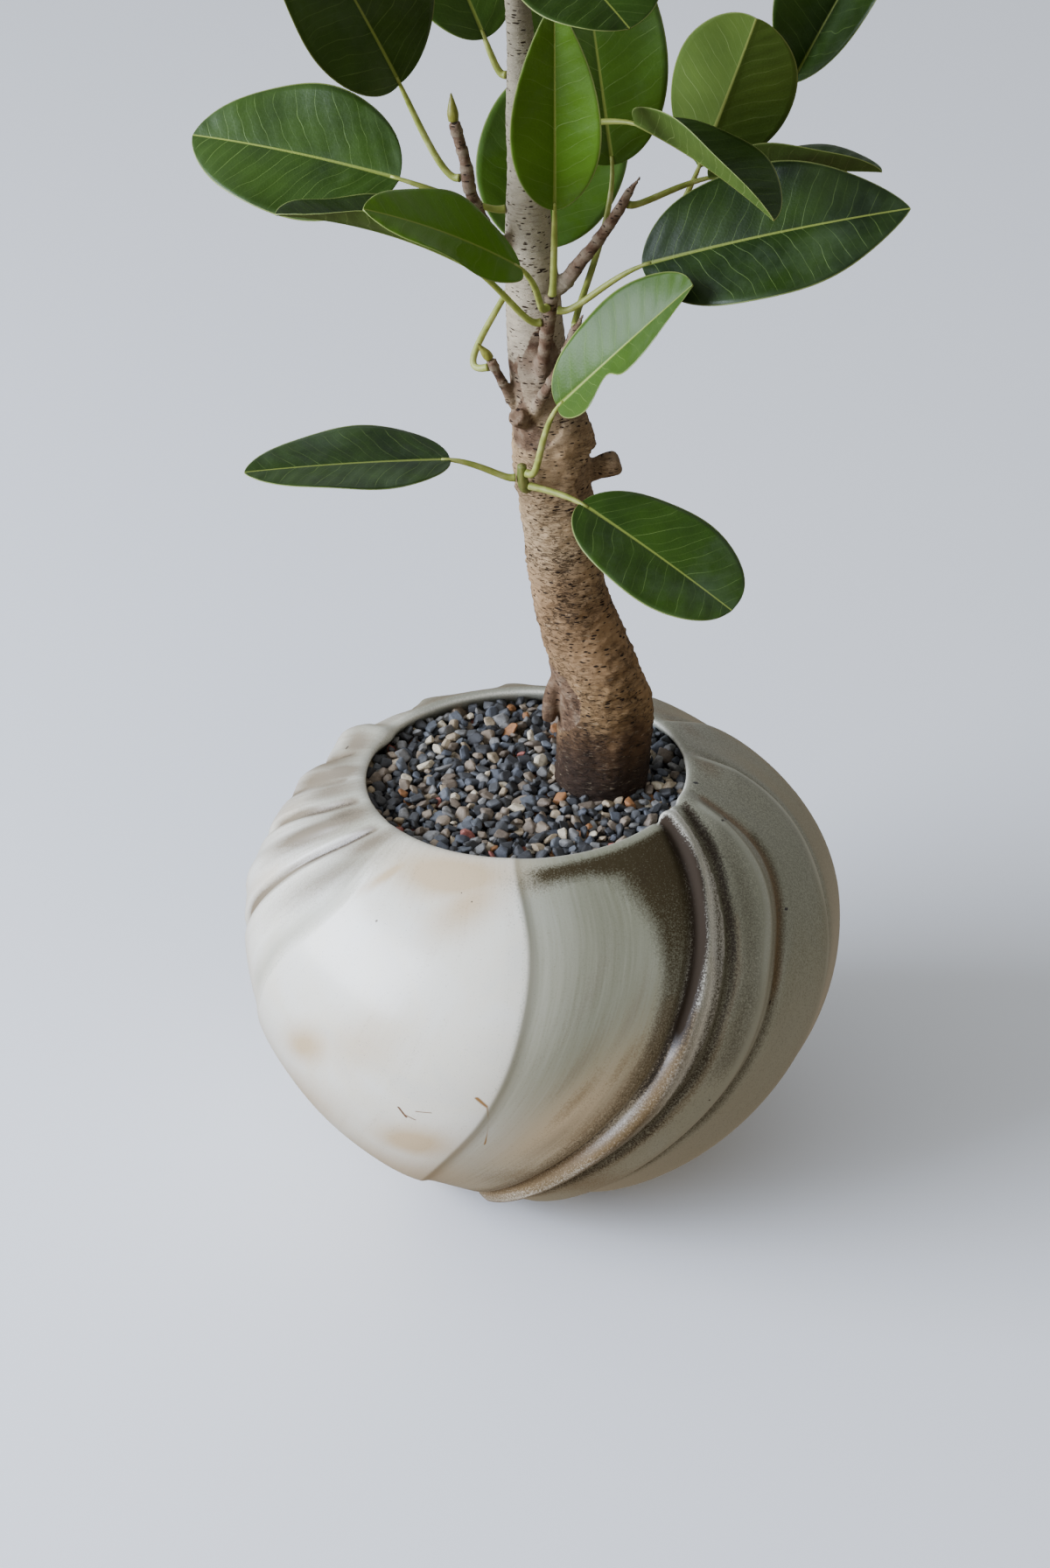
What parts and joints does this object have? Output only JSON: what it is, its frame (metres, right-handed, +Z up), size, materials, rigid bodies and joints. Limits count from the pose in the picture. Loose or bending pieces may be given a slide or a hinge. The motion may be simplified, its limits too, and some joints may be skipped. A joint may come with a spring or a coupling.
{
  "type": "potted rubber plant",
  "caption": "Young rubber plant with a woody trunk, twigs and broad stalked leaves, in a round stoneware pot with spiral folds and a gravel topping.",
  "frame": {"origin": "on the surface, under the middle of the pot's belly, on the flat of its foot, whose own middle lies 10 mm towards -X", "axes": "+Z up along the pot's axis, -Y towards the viewer of the picture, +X to the viewer's right"},
  "size_m": [0.3304, 0.2794, 0.7907],
  "materials": {
    "glazed_stoneware": "satin",
    "black_plastic": "matte",
    "drainage_pumice": "matte",
    "potting_soil": "matte",
    "river_gravel": "satin",
    "bark": "matte",
    "bud_scale": "satin",
    "green_shoot": "satin",
    "rubber_leaf": "satin"
  },
  "bodies": {
    "root": {"pot": "glazed_stoneware", "drain_net": "black_plastic", "drain_stones": "drainage_pumice", "soil": "potting_soil", "gravel": "river_gravel", "trunk": "bark", "bud_left": "bud_scale", "bud_back_left": "bud_scale", "bud_top": "bud_scale", "shoot": "green_shoot", "leaf_01": "rubber_leaf", "leaf_02": "rubber_leaf", "leaf_03": "rubber_leaf", "leaf_04": "rubber_leaf", "leaf_05": "rubber_leaf", "leaf_06": "rubber_leaf", "leaf_07": "rubber_leaf", "leaf_08": "rubber_leaf", "leaf_09": "rubber_leaf", "leaf_10": "rubber_leaf", "leaf_11": "rubber_leaf", "leaf_12": "rubber_leaf", "leaf_13": "rubber_leaf", "leaf_14": "rubber_leaf", "leaf_15": "rubber_leaf", "leaf_16": "rubber_leaf", "leaf_17": "rubber_leaf", "leaf_18": "rubber_leaf", "leaf_19": "rubber_leaf", "leaf_20": "rubber_leaf", "leaf_21": "rubber_leaf", "leaf_22": "rubber_leaf", "leaf_23": "rubber_leaf", "leaf_24": "rubber_leaf", "leaf_25": "rubber_leaf", "leaf_26": "rubber_leaf", "leaf_27": "rubber_leaf", "leaf_28": "rubber_leaf", "leaf_29": "rubber_leaf"}
  },
  "joints": []
}
